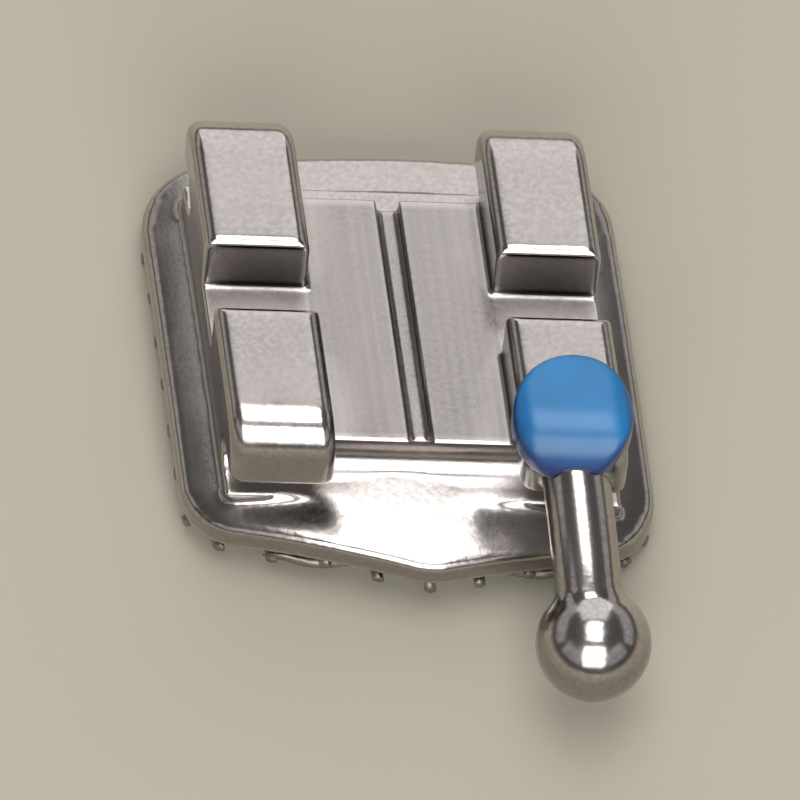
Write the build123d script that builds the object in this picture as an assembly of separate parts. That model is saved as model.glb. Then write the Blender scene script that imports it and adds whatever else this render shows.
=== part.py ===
from build123d import *
import os
from math import asin, cos, degrees, radians, sqrt, tan

# Metal edgewise bracket for an upper canine, with paired tie wings and a ball hook.
# The origin is the centre of the curved bonding face. +X is distal, along the archwire slot,
# +Y is towards the biting edge, -Y towards the gum, and +Z points away from the tooth.
# Lengths are in millimetres and angles in degrees.

# Prescription
tip_angle = 8.0             # lean of the columns from the slot's normal, distal towards the gum
torque_angle = -2.0         # turn of the slot about its length; positive faces the biting edge
base_to_slot = 0.87         # bonding face to slot floor, at the centre
slot_width = 0.56
slot_depth = 0.76
slot_chamfer = 0.05

# Tie wings, in two columns
body_width = 3.24           # over both columns, square to their lean
column_width = 0.86
wing_span = 3.1             # from wing tip to wing tip
wing_end_radius = 0.38      # round of the wing tops down to their tips
wing_drop = 0.73            # wing top to the lip of its tip
lip_hook = 0.05             # how far the lip hangs below the groove's roof
column_edge_round = 0.12

# Pedestal, with the ligature grooves under the wings and the scribe line on its panel
panel_end_round = 0.05
neck_length = 2.08          # metal left between the grooves
groove_radius = 0.27
foot_ledge = 0.11           # foot beyond the grooves' lowest line
scribe_width = 0.18
scribe_depth = 0.09

# Bonding pad, curved to the tooth both ways
contour_radius_wide = 6.0   # across the tooth
contour_radius_tall = 14.0  # along the tooth
pad_width = 3.95
pad_top = 1.85              # centre to the edge towards the bite
pad_bottom = 1.58           # centre to the corners towards the gum
pad_peak = 0.45             # point of the gum edge beyond its corners
pad_corner_radius = 0.55
pad_thickness = 0.26
pad_edge_round = 0.08

# Woven mesh under the pad
mesh_pitch = 0.42
wire_size = 0.12
wire_sink = 0.06            # depth that crossing wires share

# Ball hook on the distal wing towards the gum
ball_diameter = 0.96
stem_diameter = 0.56
hook_neck_round = 0.08
hook_length = 1.45          # wing tip to ball centre
hook_drop = 0.22            # wing lip down to ball centre
hook_root_lift = 0.31       # stem's axis above the wing lip, where it starts inside the wing

# Enamel mark on that wing, a round dab
enamel_thickness = 0.1
enamel_radius = 0.5
enamel_inset = 0.34         # bare metal left beside the slot's chamfer
enamel_lift = 0.42          # lower edge of the mark above the wing lip

# Worked out from the sizes above
lean = tan(radians(tip_angle))
column_offset = (body_width - column_width) / 2
tip_y = wing_span / 2
flat_y = tip_y - wing_end_radius
lip_z = slot_depth - wing_drop                 # heights from the slot floor
roof_z = lip_z + lip_hook
neck_y = neck_length / 2
groove_round = min(groove_radius, 0.8 * (tip_y - neck_y))    # no larger than the room under a wing
groove_z = roof_z - groove_round
groove_y = neck_y + groove_round
foot_y = groove_y + foot_ledge
pad_low = pad_bottom + pad_peak
mesh_thickness = 2 * wire_size - wire_sink
pad_middle = mesh_thickness + pad_thickness / 2
pad_face = mesh_thickness + pad_thickness
reach = 2 * (pad_width + pad_top + pad_low)    # longer than the part, for cutting shapes


def leaned(x, y):
    """Point of a rhomboid outline, whose sides lean with the tip angle."""
    return (x - y * lean, y)


def tooth(offset):
    """Solid under the tooth-shaped surface that lies offset above the bonding face."""
    half = 0.75 * pad_width
    floor = -pad_width
    edge = sqrt((contour_radius_wide + offset) ** 2 - half**2) - contour_radius_wide
    with BuildSketch(Plane.XZ) as section:
        with BuildLine():
            ThreePointArc((-half, edge), (0, offset), (half, edge))
            Polyline((half, edge), (half, floor), (-half, floor), (-half, edge))
        make_face()
    axis = Axis((0, 0, -contour_radius_tall), (1, 0, 0))
    half_turn = degrees(asin(1.5 * pad_low / contour_radius_tall))
    return revolve(section.sketch.rotate(axis, -half_turn), axis, 2 * half_turn)


def leaning_bar(x, width):
    """Upright slab along the lean, centred x from the middle."""
    return Rot(0, 0, tip_angle) * Pos(x, 0, 0) * Box(width, reach, reach)


def along_slot(face):
    return extrude(face, reach, both=True)


def wing_profile(grow=0.0):
    """Side view of wings and pedestal, with the slot floor at z = 0 and the wings grown by grow."""
    low = -base_to_slot - pad_width / 4
    shoulder = slot_depth - wing_end_radius
    diagonal = sqrt(0.5) * (wing_end_radius + grow)
    groove_low = (groove_y, groove_z - groove_round)
    groove_roof = (groove_y, roof_z)
    lip = (tip_y + grow, lip_z)
    tip = (tip_y + grow, shoulder)
    crest = (flat_y, slot_depth + grow)
    with BuildSketch(Plane.YZ) as profile:
        with BuildLine():
            Polyline((0, low), (foot_y, low), (foot_y, groove_low[1]), groove_low)
            ThreePointArc(groove_low, (neck_y, groove_z), groove_roof)
            Polyline(groove_roof, lip, tip)
            ThreePointArc(tip, (flat_y + diagonal, shoulder + diagonal), crest)
            Line(crest, (0, slot_depth + grow))
            mirror(about=Plane.YZ)
        make_face()
    return profile.sketch


def column(side, grow=0.0):
    """One column with its two tie wings, on the mesial (-1) or distal (1) side."""
    width = column_width + 2 * grow
    shape = along_slot(wing_profile(grow)) & leaning_bar(side * column_offset, width)
    edges = shape.edges().filter_by(Axis.X, reverse=True).filter_by(lambda e: e.center().Z > roof_z)
    return fillet(edges, min(column_edge_round, 0.45 * column_width) + grow)


def pedestal():
    """Foot of both columns, with the panel between them at the slot floor's height."""
    height = base_to_slot + pad_width
    window = Plane.YZ * Pos(0, -height / 2) * Rectangle(2 * foot_y, height)
    profile = wing_profile() & window
    panel_ends = profile.vertices().group_by(Axis.Z)[-1]
    return along_slot(fillet(panel_ends, panel_end_round)) & leaning_bar(0, body_width)


def slot_cut():
    half = slot_width / 2
    mouth = half + slot_chamfer
    with BuildSketch(Plane.YZ) as section:
        with BuildLine():
            Polyline((0, 0), (half, 0), (half, slot_depth - slot_chamfer), (mouth, slot_depth))
            Polyline((mouth, slot_depth), (mouth, reach), (0, reach))
            mirror(about=Plane.YZ)
        make_face()
    return along_slot(section.sketch)


def ball_hook():
    """Stem that droops from inside the distal wing, with a ball for elastics at its end."""
    root = (column_offset, -flat_y, lip_z + hook_root_lift)
    end = (column_offset, -tip_y - hook_length, lip_z - hook_drop)
    path = TangentArc(root, end, tangent=(0, -1, 0))
    section = Plane(origin=path @ 0, z_dir=path % 0) * Circle(stem_diameter / 2)
    hook = sweep(section, path) + Pos(*end) * Sphere(ball_diameter / 2)
    neck = hook.edges().filter_by(GeomType.CIRCLE, reverse=True)
    return Rot(0, 0, tip_angle) * fillet(neck, hook_neck_round)


def seated(shape):
    """Turns a shape of the wings to the torque and lifts it to the slot's height."""
    return Pos(0, 0, base_to_slot) * Rot(-torque_angle, 0, 0) * shape


def pad_outline():
    """Upright prism of the pad's rhomboid outline, pointed towards the gum."""
    half = pad_width / 2
    top = [(-half, pad_top), (half, pad_top)]
    bottom = [(half, -pad_bottom), (0, -pad_low), (-half, -pad_bottom)]
    outline = make_face(Polyline(*[leaned(x, y) for x, y in top + bottom], close=True))
    return extrude(fillet(outline.vertices(), pad_corner_radius), reach, both=True)


def bracket_body():
    pad = (tooth(pad_face) - tooth(mesh_thickness)) & pad_outline()
    rim = pad.faces().sort_by(Axis.Z)[-1].edges()
    pad = fillet(rim, min(pad_edge_round, 0.45 * pad_thickness))
    scribe = Rot(0, 0, tip_angle) * Box(scribe_width, reach, 2 * scribe_depth)
    wings = column(-1) + column(1) + pedestal() + ball_hook() - slot_cut() - scribe
    return pad + (seated(wings) - tooth(pad_middle))


def spread(length):
    """Places of the wires that fit across a length, centred on zero."""
    count = int((length - 2 * wire_size) / mesh_pitch) + 1
    return [(i - (count - 1) / 2) * mesh_pitch for i in range(count)]


def bonding_mesh():
    """Wires along the lean against the pad, sunk into the wires that cross them on the tooth side."""
    middle = (pad_top - pad_low) / 2
    tall = [leaning_bar(x, wire_size) for x in spread(pad_width)]
    wide = [Pos(0, middle + y, 0) * Box(reach, wire_size, reach) for y in spread(pad_top + pad_low)]
    outline = pad_outline()
    upper = tooth(mesh_thickness) - tooth(mesh_thickness - wire_size)
    lower = tooth(wire_size) - tooth(0)
    wires = [upper & (bar & outline) for bar in tall] + [lower & (bar & outline) for bar in wide]
    return wires[0].fuse(*wires[1:])


def colour_mark(body):
    """Dab of enamel over the top and flanks of the wing that carries the hook."""
    y = -(slot_width / 2 + slot_chamfer + enamel_inset + enamel_radius)
    x, y = leaned(column_offset / cos(radians(tip_angle)), y)
    window = Pos(x, y, lip_z + enamel_lift + reach / 2) * Cylinder(enamel_radius, reach)
    return seated(column(1, enamel_thickness) & window) - body


body = bracket_body()
nodes = {"bracket_body": body, "bonding_mesh": bonding_mesh(), "colour_mark": colour_mark(body)}
os.makedirs("parts", exist_ok=True)
for name, shape in nodes.items():
    export_step(shape, f"parts/{name}.step")
    print(name, "solids", len(shape.solids()), "volume", round(shape.volume, 4))
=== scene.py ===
import math

import bpy
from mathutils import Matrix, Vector


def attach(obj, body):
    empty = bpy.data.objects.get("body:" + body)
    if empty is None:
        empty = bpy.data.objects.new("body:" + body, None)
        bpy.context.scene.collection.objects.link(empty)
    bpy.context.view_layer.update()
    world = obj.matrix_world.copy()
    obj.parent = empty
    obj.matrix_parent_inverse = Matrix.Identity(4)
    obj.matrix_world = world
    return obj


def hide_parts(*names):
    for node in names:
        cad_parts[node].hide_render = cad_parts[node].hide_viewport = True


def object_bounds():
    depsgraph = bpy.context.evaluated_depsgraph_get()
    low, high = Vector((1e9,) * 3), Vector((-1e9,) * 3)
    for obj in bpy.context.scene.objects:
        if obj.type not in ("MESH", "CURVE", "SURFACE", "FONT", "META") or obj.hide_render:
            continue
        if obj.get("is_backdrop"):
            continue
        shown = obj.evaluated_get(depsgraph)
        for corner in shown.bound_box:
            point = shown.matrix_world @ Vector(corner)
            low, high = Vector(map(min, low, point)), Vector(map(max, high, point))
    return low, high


# Metal bracket for an upper canine: steel body, woven base mesh, blue enamel on one wing.
# Everything is modelled in millimetres and brought to metres at the end of each piece.

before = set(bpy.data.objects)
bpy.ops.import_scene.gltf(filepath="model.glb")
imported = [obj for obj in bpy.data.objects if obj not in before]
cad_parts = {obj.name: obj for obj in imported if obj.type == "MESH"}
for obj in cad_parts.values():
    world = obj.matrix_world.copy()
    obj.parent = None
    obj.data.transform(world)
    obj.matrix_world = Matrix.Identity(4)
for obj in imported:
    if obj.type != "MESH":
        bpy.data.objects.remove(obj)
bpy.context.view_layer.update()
mm = 0.001
tiny = 0.001       # mm, slack for picking points by their place
pastPart = 5       # mm, half length of the cutters that run right through
bodyVoxel = 0.018  # mm, net of the steel's skin
print("frame loaded:", sorted(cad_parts))


# Small helpers

def clearSelection():
    if bpy.context.object and bpy.context.object.mode != "OBJECT":
        bpy.ops.object.mode_set(mode="OBJECT")
    bpy.ops.object.select_all(action="DESELECT")


def pick(piece):
    clearSelection()
    piece.select_set(True)
    bpy.context.view_layer.objects.active = piece


def selectWhere(piece, kind, test):  # leaves the piece in edit mode with only what passes selected
    pick(piece)
    bpy.ops.object.mode_set(mode="EDIT")
    bpy.ops.mesh.select_mode(type=kind)
    bpy.ops.mesh.select_all(action="DESELECT")
    bpy.ops.object.mode_set(mode="OBJECT")
    points = [v.co.copy() for v in piece.data.vertices]
    if kind == "VERT":
        for v, point in zip(piece.data.vertices, points):
            v.select = test([point])
    else:
        for item in piece.data.edges if kind == "EDGE" else piece.data.polygons:
            item.select = test([points[i] for i in item.vertices])
    bpy.ops.object.mode_set(mode="EDIT")


def moveWhere(piece, test, step):
    selectWhere(piece, "VERT", lambda p: test(p[0]))
    bpy.ops.transform.translate(value=step)
    bpy.ops.object.mode_set(mode="OBJECT")


def softenWhere(piece, test, passes):
    selectWhere(piece, "VERT", lambda p: test(p[0]))
    bpy.ops.mesh.vertices_smooth(factor=0.5, repeat=passes)
    bpy.ops.object.mode_set(mode="OBJECT")


def bevelWhere(piece, test, width, segments):  # the test gets both ends of an edge
    selectWhere(piece, "EDGE", lambda p: test(*p))
    bpy.ops.mesh.bevel(offset=width, segments=segments, profile=0.5, affect="EDGES", clamp_overlap=False)
    bpy.ops.object.mode_set(mode="OBJECT")


def applyModifier(piece, kind, **settings):
    pick(piece)
    modifier = piece.modifiers.new(kind.lower(), kind)
    for key, value in settings.items():
        setattr(modifier, key, value)
    bpy.ops.object.modifier_apply(modifier=modifier.name)


def applyPlace(piece):
    pick(piece)
    bpy.ops.object.transform_apply(location=True, rotation=True, scale=True)


def addBlock(name, low, high):
    clearSelection()
    low, high = Vector(low), Vector(high)
    bpy.ops.mesh.primitive_cube_add(size=1, location=(low + high) / 2, scale=high - low)
    block = bpy.context.object
    block.name = name
    applyPlace(block)
    return block


def copyOf(piece, name):
    twin = piece.copy()
    twin.data = piece.data.copy()
    twin.name = name
    bpy.context.collection.objects.link(twin)
    return twin


def discard(piece):
    bpy.data.objects.remove(piece)


def trim(piece, tool, operation="DIFFERENCE"):
    applyModifier(piece, "BOOLEAN", operation=operation, solver="EXACT", object=tool)


def joinAll(pieces, name):
    clearSelection()
    for piece in pieces:
        piece.select_set(True)
    bpy.context.view_layer.objects.active = pieces[0]
    bpy.ops.object.join()
    pieces[0].name = name
    return pieces[0]


def sliceGrid(piece, step):  # cuts the faces into a net, so that they can bend
    pick(piece)
    count = int(max(piece.dimensions) / step)
    bpy.ops.object.mode_set(mode="EDIT")
    for axis in (Vector((1, 0, 0)), Vector((0, 1, 0))):
        for i in range(-count, count + 1):
            bpy.ops.mesh.select_all(action="SELECT")
            bpy.ops.mesh.bisect(plane_co=axis * (i * step), plane_no=axis, threshold=tiny / 10)
    bpy.ops.object.mode_set(mode="OBJECT")


def finishPiece(piece, material, node):
    piece.scale = (mm, mm, mm)
    applyPlace(piece)
    bpy.ops.object.shade_smooth()
    piece.data.materials.clear()
    piece.data.materials.append(material)
    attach(piece, "root")
    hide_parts(node)
    print("piece done:", piece.name, len(piece.data.polygons), "faces")


def addNode(tree, kind, links=None, values=None, **settings):
    node = tree.nodes.new(kind)
    for key, value in settings.items():
        setattr(node, key, value)
    for key, value in (values or {}).items():
        node.inputs[key].default_value = value
    for key, source in (links or {}).items():
        tree.links.new(source, node.inputs[key])
    return node


def toLinear(code):
    shades = [int(code[i:i + 2], 16) / 255 for i in (1, 3, 5)]
    return [s / 12.92 if s <= 0.04045 else ((s + 0.055) / 1.055) ** 2.4 for s in shades] + [1.0]


def perMetre(size):  # pattern scale for features of that many millimetres
    return 1 / (size * mm)


# How the bracket sits on the tooth

prescription = {
    "tip": 8.0,          # degrees, lean of the columns
    "torque": 2.0,       # degrees, turn of the slot about its length
    "baseToSlot": 0.87,
    "radiusWide": 6.0,   # tooth, across
    "radiusTall": 14.0,  # tooth, along
}
tip = math.radians(prescription["tip"])
torque = math.radians(prescription["torque"])
lean = math.tan(tip)


def toothZ(x, y, height):  # height of the surface that lies that far above the bonding face
    wide, tall = prescription["radiusWide"], prescription["radiusTall"]
    section = math.sqrt((wide + height) ** 2 - x * x) - wide + tall
    return math.sqrt(section ** 2 - y * y) - tall


def bendToTooth(piece):
    for v in piece.data.vertices:
        v.co.z = toothZ(*v.co)


def leanEnds(piece):  # slides the biting end and the gum end sideways
    for end in (-1, 1):
        reach = max(v.co.y * end for v in piece.data.vertices)
        moveWhere(piece, lambda p: p.y * end > reach - tiny, (-end * reach * lean, 0, 0))


def slide(piece, amount):
    for v in piece.data.vertices:
        v.co.x += amount * v.co.y


def turn(piece, angle):  # about the slot's direction
    piece.rotation_euler.x = angle
    applyPlace(piece)


# One closed skin over everything that overlaps, with tumbled edges. It is laid on the seated piece,
# turned level and slid upright, so that the wings' edges run along the voxels and come out straight.
def melt(piece, voxel, passes):
    turn(piece, -torque)
    slide(piece, lean)
    applyModifier(piece, "REMESH", mode="VOXEL", voxel_size=voxel)
    applyModifier(piece, "SMOOTH", factor=0.5, iterations=passes)
    slide(piece, -lean)
    turn(piece, torque)


def seat(piece):
    turn(piece, torque)
    piece.location.z = prescription["baseToSlot"]
    applyPlace(piece)


# Sizes of the tie wings, which the steel's panel follows too

tieWings = {
    "bodyWidth": 3.24,
    "columnWidth": 0.86,
    "span": 3.1,
    "endRadius": 0.38,
    "edgeRound": 0.12,
    "drop": 0.73,         # wing top to the lip of its tip
    "lipHook": 0.05,      # how far the lip hangs below the groove's roof
    "root": 0.2,          # how far a column reaches down into the pedestal
    "slotWidth": 0.56,
    "slotDepth": 0.76,
    "slotChamfer": 0.05,
    "slotOpen": 1.0,      # height of the slot's cutter above the wings
}
columnOffset = (tieWings["bodyWidth"] - tieWings["columnWidth"]) / 2
wingTip = tieWings["span"] / 2
lipZ = tieWings["slotDepth"] - tieWings["drop"]  # heights from the slot floor
roofZ = lipZ + tieWings["lipHook"]


# Materials

def newMaterial(name):
    material = bpy.data.materials.new(name)
    material.use_nodes = True
    tree = material.node_tree
    tree.nodes.clear()
    shader = addNode(tree, "ShaderNodeBsdfPrincipled")
    addNode(tree, "ShaderNodeOutputMaterial", links={"Surface": shader.outputs[0]})
    place = addNode(tree, "ShaderNodeTexCoord").outputs["Object"]
    return material, tree, shader, place


steelLook = {
    "bright": "#E0D8D4",
    "grey": "#D0C8C4",          # between the grains
    "panel": "#C1BAB6",
    # painted shade, laid on steep walls and darkest in the corners
    "darkTone": "#332E2B",
    # painted highlight along convex edges
    "edgeHighlight": "#EDE7E3",
    "grainRoughness": 0.04,     # added between the grains
    "cornerRoughness": 0.04,    # added in the corners
    "floorRoughness": 0.32,     # added where a floor lies deep between walls
    "cornerReach": 0.9,         # mm, how far off a wall still shields a corner
    "edgeReach": 0.07,          # mm, width of the convex edges that get the painted highlight
    "grain": 0.045,             # mm, sintered powder grain, really 0.01 and drawn coarser so that it shows
    "grainDepth": 0.0007,
    "ripple": 0.5,              # mm, waves left by tumbling
    "rippleDepth": 0.0008,
    "streak": (0.05, 3.0),      # mm, width and length of the panel's draw lines
    "streakDepth": 0.001,
    "panelLevel": (0.7, 0.95),  # mm, heights that the panel lies between

    # Over a noise: roughness, grain, and tone of the draw lines
    "polish": {"From Min": 0.3, "From Max": 0.7, "To Min": 0.13, "To Max": 0.19},
    "mottle": {"From Min": 0.35, "From Max": 0.65},
    "drawn": {"From Min": 0.3, "From Max": 0.7, "To Min": 0.65, "To Max": 1.0},

    # Over the upward part of the normal
    "level": {"From Min": 0.5, "From Max": 0.9},
    "steep": {"From Min": 0.3, "From Max": 0.85, "To Min": 1.0, "To Max": 0.04},

    # Over the share of open space around a point, or inside it for the edges
    "shielded": {"From Min": 0.35, "From Max": 0.95, "To Min": 1.0, "To Max": 0.56},
    "sunken": {"From Min": 0.4, "From Max": 0.75, "To Min": 1.0, "To Max": 0.0},
    "edges": {"From Min": 0.5, "From Max": 0.95, "To Min": 0.7, "To Max": 0.0},
}


def tumbledSteel():
    # Injection-moulded 17-4 stainless, tumbled in ceramic media: a bright, faintly warm metal with a fine
    # powder grain, whose flats hold soft reflections. A painted highlight lightens its convex edges; it is
    # greyer and drawn on the panel between the columns, satin on the slot's floor, and painted shade
    # darkens its steep walls, most of all in the corners
    material, tree, shader, place = newMaterial("tumbledStainlessSteel")
    clouds = addNode(tree, "ShaderNodeTexNoise", links={"Vector": place},
                     values={"Scale": perMetre(steelLook["ripple"]), "Detail": 1.0})
    grain = addNode(tree, "ShaderNodeTexNoise", links={"Vector": place},
                    values={"Scale": perMetre(steelLook["grain"]), "Detail": 2.0})
    mottle = addNode(tree, "ShaderNodeMapRange", links={"Value": grain.outputs["Fac"]},
                     values=steelLook["mottle"])
    surface = addNode(tree, "ShaderNodeNewGeometry")
    upward = addNode(tree, "ShaderNodeSeparateXYZ", links={"Vector": surface.outputs["Normal"]})
    level = addNode(tree, "ShaderNodeMapRange", links={"Value": upward.outputs["Z"]},
                    values=steelLook["level"])

    # The panel is what faces up between the columns, at the slot floor's height
    upright = addNode(tree, "ShaderNodeMapping", links={"Vector": place}, values={"Rotation": (0, 0, -tip)})
    spot = addNode(tree, "ShaderNodeSeparateXYZ", links={"Vector": upright.outputs[0]})
    half = columnOffset - tieWings["columnWidth"] / 2
    low, high = steelLook["panelLevel"]
    panel = level
    for axis, middle, reach in (("X", 0, half), ("Z", (low + high) / 2, (high - low) / 2)):
        within = addNode(tree, "ShaderNodeMath", operation="COMPARE", links={0: spot.outputs[axis]},
                         values={1: middle * mm, 2: reach * mm})
        panel = addNode(tree, "ShaderNodeMath", operation="MULTIPLY",
                        links={0: panel.outputs[0], 1: within.outputs[0]})

    # Draw lines along it
    width, length = steelLook["streak"]
    stretched = addNode(tree, "ShaderNodeMapping", links={"Vector": upright.outputs[0]},
                        values={"Scale": (perMetre(width), perMetre(length), perMetre(1.0))})
    streaks = addNode(tree, "ShaderNodeTexNoise", links={"Vector": stretched.outputs[0]},
                      values={"Scale": 1.0, "Detail": 2.0})
    lines = addNode(tree, "ShaderNodeMath", operation="MULTIPLY",
                    links={0: streaks.outputs["Fac"], 1: panel.outputs[0]})
    drawn = addNode(tree, "ShaderNodeMapRange", links={"Value": streaks.outputs["Fac"]},
                    values=steelLook["drawn"])
    panelTone = addNode(tree, "ShaderNodeMath", operation="MULTIPLY",
                        links={0: panel.outputs[0], 1: drawn.outputs[0]})

    # Painted shade on steep walls and in corners, rougher floors deep between walls, and a painted
    # highlight along convex edges
    corners = addNode(tree, "ShaderNodeAmbientOcclusion", samples=16, only_local=True,
                      values={"Distance": steelLook["cornerReach"] * mm})
    shielded = addNode(tree, "ShaderNodeMapRange", links={"Value": corners.outputs["AO"]},
                       values=steelLook["shielded"])
    steep = addNode(tree, "ShaderNodeMapRange", links={"Value": upward.outputs["Z"]},
                    values=steelLook["steep"])
    paintedShade = addNode(tree, "ShaderNodeMath", operation="MULTIPLY",
                    links={0: shielded.outputs[0], 1: steep.outputs[0]})
    sunken = addNode(tree, "ShaderNodeMapRange", links={"Value": corners.outputs["AO"]},
                     values=steelLook["sunken"])
    slotFloor = addNode(tree, "ShaderNodeMath", operation="MULTIPLY",
                        links={0: sunken.outputs[0], 1: level.outputs[0]})
    thin = addNode(tree, "ShaderNodeAmbientOcclusion", samples=4, only_local=True, inside=True,
                   values={"Distance": steelLook["edgeReach"] * mm})
    edges = addNode(tree, "ShaderNodeMapRange", links={"Value": thin.outputs["AO"]},
                    values=steelLook["edges"])

    colour = addNode(tree, "ShaderNodeMix", data_type="RGBA", links={"Factor": mottle.outputs[0]},
                     values={"A": toLinear(steelLook["bright"]), "B": toLinear(steelLook["grey"])})
    for tone, mask in (("panel", panelTone), ("darkTone", paintedShade), ("edgeHighlight", edges)):
        colour = addNode(tree, "ShaderNodeMix", data_type="RGBA", values={"B": toLinear(steelLook[tone])},
                         links={"Factor": mask.outputs[0], "A": colour.outputs["Result"]})
    roughness = addNode(tree, "ShaderNodeMapRange", links={"Value": clouds.outputs["Fac"]},
                        values=steelLook["polish"])
    for where, mask in (("grain", mottle), ("corner", paintedShade), ("floor", slotFloor)):
        roughness = addNode(tree, "ShaderNodeMath", operation="MULTIPLY_ADD",
                            links={0: mask.outputs[0], 2: roughness.outputs[0]},
                            values={1: steelLook[where + "Roughness"]})
    bump = addNode(tree, "ShaderNodeBump", links={"Height": clouds.outputs["Fac"]},
                   values={"Distance": steelLook["rippleDepth"] * mm})
    for depth, height in (("streakDepth", lines.outputs[0]), ("grainDepth", grain.outputs["Fac"])):
        bump = addNode(tree, "ShaderNodeBump", links={"Height": height, "Normal": bump.outputs[0]},
                       values={"Distance": steelLook[depth] * mm})
    tree.links.new(colour.outputs["Result"], shader.inputs["Base Color"])
    tree.links.new(roughness.outputs[0], shader.inputs["Roughness"])
    tree.links.new(bump.outputs[0], shader.inputs["Normal"])
    shader.inputs["Metallic"].default_value = 1.0
    return material


wireLook = {
    "bright": "#B5AEA8",
    "darkTone": "#6E6862",
    "roughness": 0.42,
    "pits": 0.05,       # mm, size of the pits left by brazing
    "pitDepth": 0.002,
}


def brazedWire():
    # Drawn stainless wire, woven and brazed to the pad: a grey, slightly rough metal, darker in its pits
    material, tree, shader, place = newMaterial("brazedStainlessWire")
    pits = addNode(tree, "ShaderNodeTexNoise", links={"Vector": place},
                   values={"Scale": perMetre(wireLook["pits"]), "Detail": 3.0})
    colour = addNode(tree, "ShaderNodeMix", data_type="RGBA", links={"Factor": pits.outputs["Fac"]},
                     values={"A": toLinear(wireLook["darkTone"]), "B": toLinear(wireLook["bright"])})
    bump = addNode(tree, "ShaderNodeBump", links={"Height": pits.outputs["Fac"]},
                   values={"Distance": wireLook["pitDepth"] * mm})
    tree.links.new(colour.outputs["Result"], shader.inputs["Base Color"])
    tree.links.new(bump.outputs[0], shader.inputs["Normal"])
    shader.inputs["Metallic"].default_value = 1.0
    shader.inputs["Roughness"].default_value = wireLook["roughness"]
    return material


enamelLook = {
    "light": "#2B8BCC",
    # deep blue of the painted shade on the sides, and of the thin places
    "deep": "#0D3272",
    "pool": 0.6,             # mm, size of the thick and thin places
    "poolShare": 0.4,        # how much they count beside the slope
    "thin": {"From Min": 0.6, "From Max": 1.27},
    "sag": 0.003,
    "roughness": 0.34,
    "ior": 1.55,
    "coat": 0.3,
    "coatRoughness": 0.24,
}


def blueEnamel():
    # Baked epoxy enamel, dabbed on by brush: a softly shining azure coat, with painted shade turning it
    # deep blue down the sides of the wing, and random thick and thin places
    material, tree, shader, place = newMaterial("bakedBlueEnamel")
    pool = addNode(tree, "ShaderNodeTexNoise", links={"Vector": place},
                   values={"Scale": perMetre(enamelLook["pool"]), "Detail": 2.0})
    surface = addNode(tree, "ShaderNodeNewGeometry")
    upward = addNode(tree, "ShaderNodeSeparateXYZ", links={"Vector": surface.outputs["Normal"]})
    # Painted shade: the steeper the face, the deeper the blue, with the pool noise mixed in as random thick
    # and thin places
    slopeShadeAndPools = addNode(tree, "ShaderNodeMath", operation="MULTIPLY_ADD", values={1: enamelLook["poolShare"]},
                   links={0: pool.outputs["Fac"], 2: upward.outputs["Z"]})
    thin = addNode(tree, "ShaderNodeMapRange", links={"Value": slopeShadeAndPools.outputs[0]}, values=enamelLook["thin"])
    colour = addNode(tree, "ShaderNodeMix", data_type="RGBA", links={"Factor": thin.outputs[0]},
                     values={"A": toLinear(enamelLook["deep"]), "B": toLinear(enamelLook["light"])})
    bump = addNode(tree, "ShaderNodeBump", links={"Height": pool.outputs["Fac"]},
                   values={"Distance": enamelLook["sag"] * mm})
    tree.links.new(colour.outputs["Result"], shader.inputs["Base Color"])
    tree.links.new(bump.outputs[0], shader.inputs["Normal"])
    shader.inputs["Roughness"].default_value = enamelLook["roughness"]
    shader.inputs["IOR"].default_value = enamelLook["ior"]
    shader.inputs["Coat Weight"].default_value = enamelLook["coat"]
    shader.inputs["Coat Roughness"].default_value = enamelLook["coatRoughness"]
    return material


# Tie wings, in two leaning columns, with the archwire slot across them

def addColumn(side, grow=0.0):
    middle = side * columnOffset / math.cos(tip)
    half = (tieWings["columnWidth"] / 2 + grow) / math.cos(tip)
    end, top, bottom = wingTip + grow, tieWings["slotDepth"] + grow, -tieWings["root"]
    column = addBlock("column", (middle - half, -end, bottom), (middle + half, end, top))
    leanEnds(column)
    bevelWhere(column, lambda a, b: min(a.z, b.z) > top - tiny and abs(a.y + b.y) > 2 * (end - tiny),
               tieWings["endRadius"] + grow, segments=12)

    def flank(p):  # -1 or 1 on the column's sides
        place = (p.x + p.y * lean - middle) / half
        return round(place) if abs(place) > 1 - tiny else 0

    bevelWhere(column, lambda a, b: flank(a) * flank(b) == 1 and max(a.z, b.z) > bottom + tiny,
               tieWings["edgeRound"] + grow, segments=5)
    return column


def addSlotCutter():
    half, depth, chamfer = tieWings["slotWidth"] / 2, tieWings["slotDepth"], tieWings["slotChamfer"]
    cutter = addBlock("slotCutter", (-pastPart, -half, 0), (pastPart, half, depth - chamfer))
    selectWhere(cutter, "FACE", lambda p: all(q.z > depth - chamfer - tiny for q in p))
    bpy.ops.mesh.extrude_region_move(TRANSFORM_OT_translate={"value": (0, 0, chamfer)})
    bpy.ops.transform.resize(value=(1, 1 + chamfer / half, 1))
    bpy.ops.mesh.extrude_region_move(TRANSFORM_OT_translate={"value": (0, 0, tieWings["slotOpen"])})
    bpy.ops.object.mode_set(mode="OBJECT")
    return cutter


# Pedestal, with the ligature grooves and the scribe line

pedestalSize = {
    "neck": 2.08,         # metal left between the grooves
    "grooveRadius": 0.27,
    "grooveReach": 1.5,   # length of a groove's cutter, out past the wing
    "footLedge": 0.11,
    "footBlend": 0.07,
    "root": 1.3,          # how far it reaches down from the slot floor, before the pad's curve takes over
    "net": 0.2,           # step of the net that its underside bends on
    "scribeWidth": 0.18,
    "scribeDepth": 0.09,
    "scribeRound": 0.05,
    "scribeLength": 6,    # of its cutter
}
neckY = pedestalSize["neck"] / 2
grooveY = neckY + pedestalSize["grooveRadius"]
footY = grooveY + pedestalSize["footLedge"]
footTop = roofZ - 2 * pedestalSize["grooveRadius"]


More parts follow.
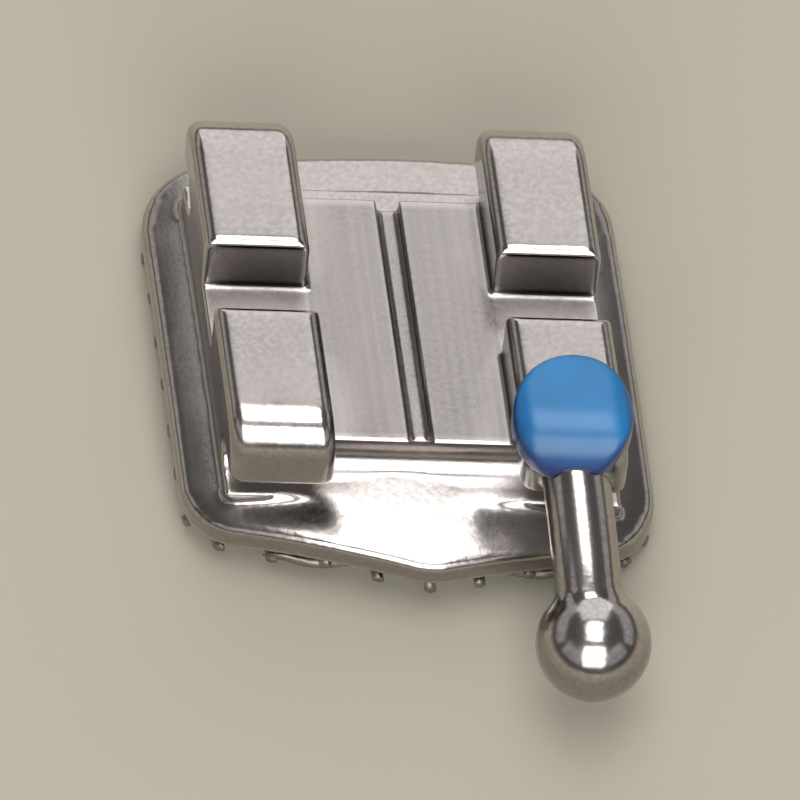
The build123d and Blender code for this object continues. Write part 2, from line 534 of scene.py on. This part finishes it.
def addGrooveCutter(end):
    far = neckY + pedestalSize["grooveReach"]
    low, high = sorted((end * neckY, end * far))
    cutter = addBlock("grooveCutter", (-pastPart, low, footTop), (pastPart, high, roofZ))
    bevelWhere(cutter, lambda a, b: max(abs(a.y), abs(b.y)) < neckY + tiny and abs(a.z - b.z) < tiny,
               pedestalSize["grooveRadius"] - tiny, segments=12)
    slope = tieWings["lipHook"] / (wingTip - grooveY)
    moveWhere(cutter, lambda p: abs(p.y) > far - tiny and p.z > footTop + tiny,
              (0, 0, -slope * (far - grooveY)))
    return cutter


def addPedestal():
    half = tieWings["bodyWidth"] / 2 / math.cos(tip)
    pedestal = addBlock("pedestal", (-half, -footY, -pedestalSize["root"]), (half, footY, 0))
    leanEnds(pedestal)
    return pedestal


def addScribeCutter():
    half, depth = pedestalSize["scribeWidth"] / 2, pedestalSize["scribeDepth"]
    end = pedestalSize["scribeLength"] / 2
    cutter = addBlock("scribeCutter", (-half, -end, -depth), (half, end, depth))
    bevelWhere(cutter, lambda a, b: max(a.z, b.z) < 0 and abs(a.x - b.x) < tiny,
               pedestalSize["scribeRound"], segments=3)
    cutter.rotation_euler.z = tip
    applyPlace(cutter)
    return cutter


# Ball hook

hookSize = {
    "ball": 0.96,
    "stem": 0.56,
    "length": 1.45,    # wing tip to the ball's centre
    "drop": 0.22,      # wing lip down to the ball's centre
    "rootLift": 0.31,  # stem's axis above the lip, where it starts inside the wing
    "neckRound": 0.1,
}


def addHook():
    rootY, rootZ = tieWings["endRadius"] - wingTip, lipZ + hookSize["rootLift"]
    ballY, ballZ = -wingTip - hookSize["length"], lipZ - hookSize["drop"]
    stemRadius, ballRadius = hookSize["stem"] / 2, hookSize["ball"] / 2
    run, fall = rootY - ballY, rootZ - ballZ
    bend = (run ** 2 + fall ** 2) / (2 * fall)  # radius of the droop
    droop = 2 * math.atan(fall / run)
    clearSelection()
    bpy.ops.mesh.primitive_circle_add(vertices=40, radius=stemRadius, fill_type="NOTHING",
                                      location=(columnOffset, rootY, rootZ), rotation=(math.pi / 2, 0, 0))
    stem = bpy.context.object
    applyPlace(stem)
    bpy.ops.object.mode_set(mode="EDIT")
    bpy.ops.mesh.select_all(action="SELECT")
    bpy.ops.mesh.spin(steps=24, angle=-droop, axis=(1, 0, 0), center=(columnOffset, rootY, rootZ - bend))
    bpy.ops.mesh.select_all(action="SELECT")
    bpy.ops.mesh.fill_holes(sides=0)
    bpy.ops.mesh.select_all(action="SELECT")
    bpy.ops.mesh.normals_make_consistent(inside=False)
    bpy.ops.object.mode_set(mode="OBJECT")
    clearSelection()
    bpy.ops.mesh.primitive_uv_sphere_add(segments=64, ring_count=32, radius=ballRadius,
                                         location=(columnOffset, ballY, ballZ))
    ball = bpy.context.object
    applyPlace(ball)
    hook = joinAll([stem, ball], "hook")
    applyModifier(hook, "REMESH", mode="VOXEL", voxel_size=bodyVoxel)

    # Fillet where the stem meets the ball
    centre = Vector((columnOffset, ballY, ballZ))
    axis = Vector((0, math.cos(droop), math.sin(droop)))
    ring = math.sqrt(ballRadius ** 2 - stemRadius ** 2)

    def nearNeck(p):
        along = (p - centre).dot(axis)
        across = (p - centre - axis * along).length
        return math.hypot(along - ring, across - stemRadius) < hookSize["neckRound"]

    softenWhere(hook, nearNeck, passes=40)
    hook.rotation_euler.z = tip
    applyPlace(hook)
    return hook


# Bonding pad, curved to the tooth

padSize = {
    "width": 3.95,
    "top": 1.85,            # centre to the edge towards the bite
    "bottom": 1.58,         # centre to the corners towards the gum
    "peak": 0.45,           # point of the gum edge beyond its corners
    "cornerRadius": 0.55,
    "thickness": 0.26,
    "edgeRound": 0.08,
    "meshThickness": 0.18,
    "net": 0.06,            # step of the net that bends to the tooth
}
padFace = padSize["meshThickness"] + padSize["thickness"]
padMiddle = padSize["meshThickness"] + padSize["thickness"] / 2


def addPadOutline(low, high):
    half, top, bottom = padSize["width"] / 2, padSize["top"], padSize["bottom"]
    peak = bottom + padSize["peak"]
    clearSelection()
    bpy.ops.mesh.primitive_plane_add(size=1, location=(0, (top - bottom) / 2, low))
    outline = bpy.context.object
    outline.scale = (2 * half, top + bottom, 1)
    applyPlace(outline)
    selectWhere(outline, "EDGE", lambda p: all(q.y < tiny - bottom for q in p))
    bpy.ops.mesh.subdivide(number_cuts=1)
    bpy.ops.object.mode_set(mode="OBJECT")
    moveWhere(outline, lambda p: p.y > top - tiny, (-top * lean, 0, 0))
    moveWhere(outline, lambda p: p.y < tiny - bottom and abs(p.x) < tiny, (peak * lean, bottom - peak, 0))
    moveWhere(outline, lambda p: abs(p.y + bottom) < tiny, (bottom * lean, 0, 0))
    corners = [outline.data.vertices[i].co.copy() for i in outline.data.polygons[0].vertices]
    for i, corner in enumerate(corners):
        before, after = corners[i - 1] - corner, corners[(i + 1) % len(corners)] - corner
        run = padSize["cornerRadius"] / math.tan(before.angle(after) / 2)
        selectWhere(outline, "VERT", lambda p: (p[0] - corner).length < tiny)
        bpy.ops.mesh.bevel(offset=run, segments=10, profile=0.5, affect="VERTICES", clamp_overlap=False)
        bpy.ops.object.mode_set(mode="OBJECT")
    selectWhere(outline, "FACE", lambda p: True)
    bpy.ops.mesh.extrude_region_move(TRANSFORM_OT_translate={"value": (0, 0, high - low)})
    bpy.ops.mesh.select_all(action="SELECT")
    bpy.ops.mesh.normals_make_consistent(inside=False)
    bpy.ops.object.mode_set(mode="OBJECT")
    return outline


def addPad():
    pad = addPadOutline(padSize["meshThickness"], padFace)
    pad.name = "pad"
    bevelWhere(pad, lambda a, b: min(a.z, b.z) > padFace - tiny, padSize["edgeRound"], segments=4)
    sliceGrid(pad, padSize["net"])
    bendToTooth(pad)
    return pad


# Steel body

def addBody(steel):
    grooves = [addGrooveCutter(end) for end in (-1, 1)]
    slot = addSlotCutter()
    scribe = addScribeCutter()
    columns = [addColumn(side) for side in (-1, 1)]
    pedestal = addPedestal()
    for piece in columns + [pedestal]:
        for groove in grooves:
            trim(piece, groove)
    for column in columns:
        trim(column, slot)
    trim(pedestal, scribe)
    for tool in grooves + [slot, scribe]:
        discard(tool)
    seat(pedestal)
    sliceGrid(pedestal, pedestalSize["net"])
    for v in pedestal.data.vertices:
        if v.co.z < 0:
            v.co.z = toothZ(v.co.x, v.co.y, padMiddle)
    wings = joinAll(columns + [addHook()], "wings")
    seat(wings)
    body = joinAll([wings, pedestal, addPad()], "bracketSteel")
    melt(body, bodyVoxel, passes=6)
    blend = pedestalSize["footBlend"]

    def atFoot(p):  # where the foot runs out into the pad
        return abs(abs(p.y) - footY) < 2 * blend and abs(p.z - toothZ(p.x, p.y, padFace)) < blend

    softenWhere(body, atFoot, passes=30)
    applyModifier(body, "DECIMATE", ratio=0.4)
    finishPiece(body, steel, "bracket_body")


# Woven mesh under the pad

weave = {
    "pitch": 0.42,
    "wire": 0.1,
    "wave": 0.04,        # rise and fall of a wire over the ones it crosses
    "margin": 0.24,      # bare pad edge left over by the spacing
    "sides": 10,
    "ringsPerPitch": 8,
    "wireLength": 7.5,   # before the pad's outline trims it
    "outlineReach": 3,   # height of that outline above and below the pad
}


def spread(length):
    count = int((length - weave["margin"]) / weave["pitch"]) + 1
    return [(i - (count - 1) / 2) * weave["pitch"] for i in range(count)]


def addWire():  # straight, along Y
    length = weave["wireLength"]
    clearSelection()
    bpy.ops.mesh.primitive_cylinder_add(vertices=weave["sides"], radius=weave["wire"] / 2, depth=length,
                                        rotation=(math.pi / 2, 0, 0))
    wire = bpy.context.object
    applyPlace(wire)
    selectWhere(wire, "EDGE", lambda p: abs(p[0].y - p[1].y) > length / 2)
    bpy.ops.mesh.subdivide(number_cuts=int(length / weave["pitch"] * weave["ringsPerPitch"]))
    bpy.ops.object.mode_set(mode="OBJECT")
    return wire


def addWeave(wireSteel):
    top, low = padSize["top"], padSize["bottom"] + padSize["peak"]
    middle = (top - low) / 2
    columns, rows = spread(padSize["width"]), spread(top + low)
    outline = addPadOutline(-weave["outlineReach"], weave["outlineReach"])
    master = addWire()

    def wave(x, y):  # up on one crossing and down on the next, along the wires of both layers
        column = ((x + y * lean) * math.cos(tip) - columns[0]) / weave["pitch"]
        row = (y - middle - rows[0]) / weave["pitch"]
        return weave["wave"] * math.cos(math.pi * (column + row))

    def layWire(heading, offset, side):
        wire = copyOf(master, "wire")
        along = Vector((-math.sin(heading), math.cos(heading)))
        across = Vector((math.cos(heading), math.sin(heading)))
        for v in wire.data.vertices:
            line = offset + along * v.co.y
            x, y = line + across * v.co.x
            v.co = (x, y, toothZ(x, y, padSize["meshThickness"] / 2 + v.co.z + side * wave(*line)))
        trim(wire, outline, "INTERSECT")
        return wire

    leaning = Vector((math.cos(tip), math.sin(tip)))
    wires = [layWire(tip, leaning * place, 1) for place in columns]
    wires += [layWire(math.pi / 2, Vector((0, middle + place)), -1) for place in rows]
    discard(outline)
    discard(master)
    mesh = joinAll(wires, "wovenMesh")
    finishPiece(mesh, wireSteel, "bonding_mesh")


# Enamel on the wing that carries the hook

enamelSize = {
    "thickness": 0.1,
    "radius": 0.5,
    "inset": 0.34,    # bare metal left beside the slot's chamfer
    "lift": 0.42,     # lower edge above the wing's lip
    "bite": 0.03,     # how far the coat reaches into the steel, so that its rim lies on it
    "voxel": 0.016,
}


def addEnamel(enamel):
    cap = addColumn(1, enamelSize["thickness"])
    cap.name = "wingEnamel"
    y = -(tieWings["slotWidth"] / 2 + tieWings["slotChamfer"] + enamelSize["inset"] + enamelSize["radius"])
    x = columnOffset / math.cos(tip) - y * lean
    low, high = lipZ + enamelSize["lift"], 2 * tieWings["slotDepth"]
    clearSelection()
    bpy.ops.mesh.primitive_cylinder_add(vertices=96, radius=enamelSize["radius"], depth=high - low,
                                        location=(x, y, (low + high) / 2))
    dab = bpy.context.object
    applyPlace(dab)
    trim(cap, dab, "INTERSECT")
    discard(dab)
    for core in (addColumn(1, -enamelSize["bite"]), addHook()):
        trim(cap, core)
        discard(core)
    seat(cap)
    melt(cap, enamelSize["voxel"], passes=30)
    applyModifier(cap, "DECIMATE", ratio=0.5)
    finishPiece(cap, enamel, "colour_mark")


addBody(tumbledSteel())
addWeave(brazedWire())
addEnamel(blueEnamel())


# Floor, lights and camera

stageLook = {
    "floor": "#CAC3B1",
    "floorSize": 0.6,               # m
    "roughness": 0.7,
    "sky": (1.0, 0.97, 0.95, 1.0),  # linear
    "skyLevel": 0.08,
}


def addFloor(level):
    clearSelection()
    bpy.ops.mesh.primitive_plane_add(size=stageLook["floorSize"], location=(0, 0, level))
    floor = bpy.context.object
    floor.name = "floor"
    material, _, shader, _ = newMaterial("paleFloor")
    shader.inputs["Base Color"].default_value = toLinear(stageLook["floor"])
    shader.inputs["Roughness"].default_value = stageLook["roughness"]
    floor.data.materials.append(material)
    floor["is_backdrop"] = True


# The two strips leave a narrow gap, which the slot's square corners mirror, so that its walls stay dark
boxDistance = 120  # mm
softboxes = {  # azimuth and elevation in degrees, size in mm, radiance
    "overheadStrip": {"azimuth": 0, "elevation": 87.1, "size": (64, 83), "radiance": 3.2},
    "frontStrip": {"azimuth": 0, "elevation": 35.5, "size": (90, 87), "radiance": 3.2},
    "backPanel": {"azimuth": 180, "elevation": 38, "size": (110, 138), "radiance": 0.78},
    "frontLeftFill": {"azimuth": -48, "elevation": 26, "size": (90, 56), "radiance": 0.28},
    "frontRightFill": {"azimuth": 48, "elevation": 26, "size": (90, 56), "radiance": 0.28},
    "leftFill": {"azimuth": -120, "elevation": 23, "size": (180, 50), "radiance": 0.28},
    "rightFill": {"azimuth": 120, "elevation": 23, "size": (180, 50), "radiance": 0.28},
}


def direction(azimuth, elevation):
    a, e = math.radians(azimuth), math.radians(elevation)
    return Vector((math.sin(a) * math.cos(e), -math.cos(a) * math.cos(e), math.sin(e)))


def addSoftbox(name, azimuth, elevation, size, radiance):
    lamp = bpy.data.lights.new(name, "AREA")
    lamp.shape = "RECTANGLE"
    lamp.size, lamp.size_y = size[0] * mm, size[1] * mm
    lamp.energy = radiance * math.pi * lamp.size * lamp.size_y
    box = bpy.data.objects.new(name, lamp)
    away = direction(azimuth, elevation)
    box.location = away * boxDistance * mm
    box.rotation_euler = away.to_track_quat("Z", "Y").to_euler()
    box.visible_camera = False
    bpy.context.scene.collection.objects.link(box)


def addWorld():
    world = bpy.data.worlds.new("studio")
    bpy.context.scene.world = world
    world.use_nodes = True
    background = world.node_tree.nodes["Background"]
    background.inputs["Color"].default_value = stageLook["sky"]
    background.inputs["Strength"].default_value = stageLook["skyLevel"]


view = {
    "azimuth": -5.0,              # degrees, as the next two
    "elevation": 62.0,
    "roll": -6.2,
    "lens": 800,
    "width": 6.6,                 # mm across the picture
    "aim": (-0.02, -0.68, 0.75),  # mm
    "clip": (0.001, 10),          # m
}


def addCamera():
    camera = bpy.data.cameras.new("camera")
    camera.lens = view["lens"]
    camera.clip_start, camera.clip_end = view["clip"]
    holder = bpy.data.objects.new("camera", camera)
    back = direction(view["azimuth"], view["elevation"])
    distance = view["width"] * mm * camera.lens / camera.sensor_width
    holder.location = Vector(view["aim"]) * mm + back * distance
    axes = back.to_track_quat("Z", "Y").to_matrix()
    roll = math.radians(view["roll"])
    right, up = axes.col[0].copy(), axes.col[1].copy()
    axes.col[0] = right * math.cos(roll) - up * math.sin(roll)
    axes.col[1] = right * math.sin(roll) + up * math.cos(roll)
    holder.rotation_euler = axes.to_euler()
    bpy.context.scene.collection.objects.link(holder)
    bpy.context.scene.camera = holder


addFloor(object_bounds()[0].z)
for name, box in softboxes.items():
    addSoftbox(name, **box)
addWorld()
addCamera()
bpy.context.scene.view_settings.view_transform = "Standard"
print("stage set")
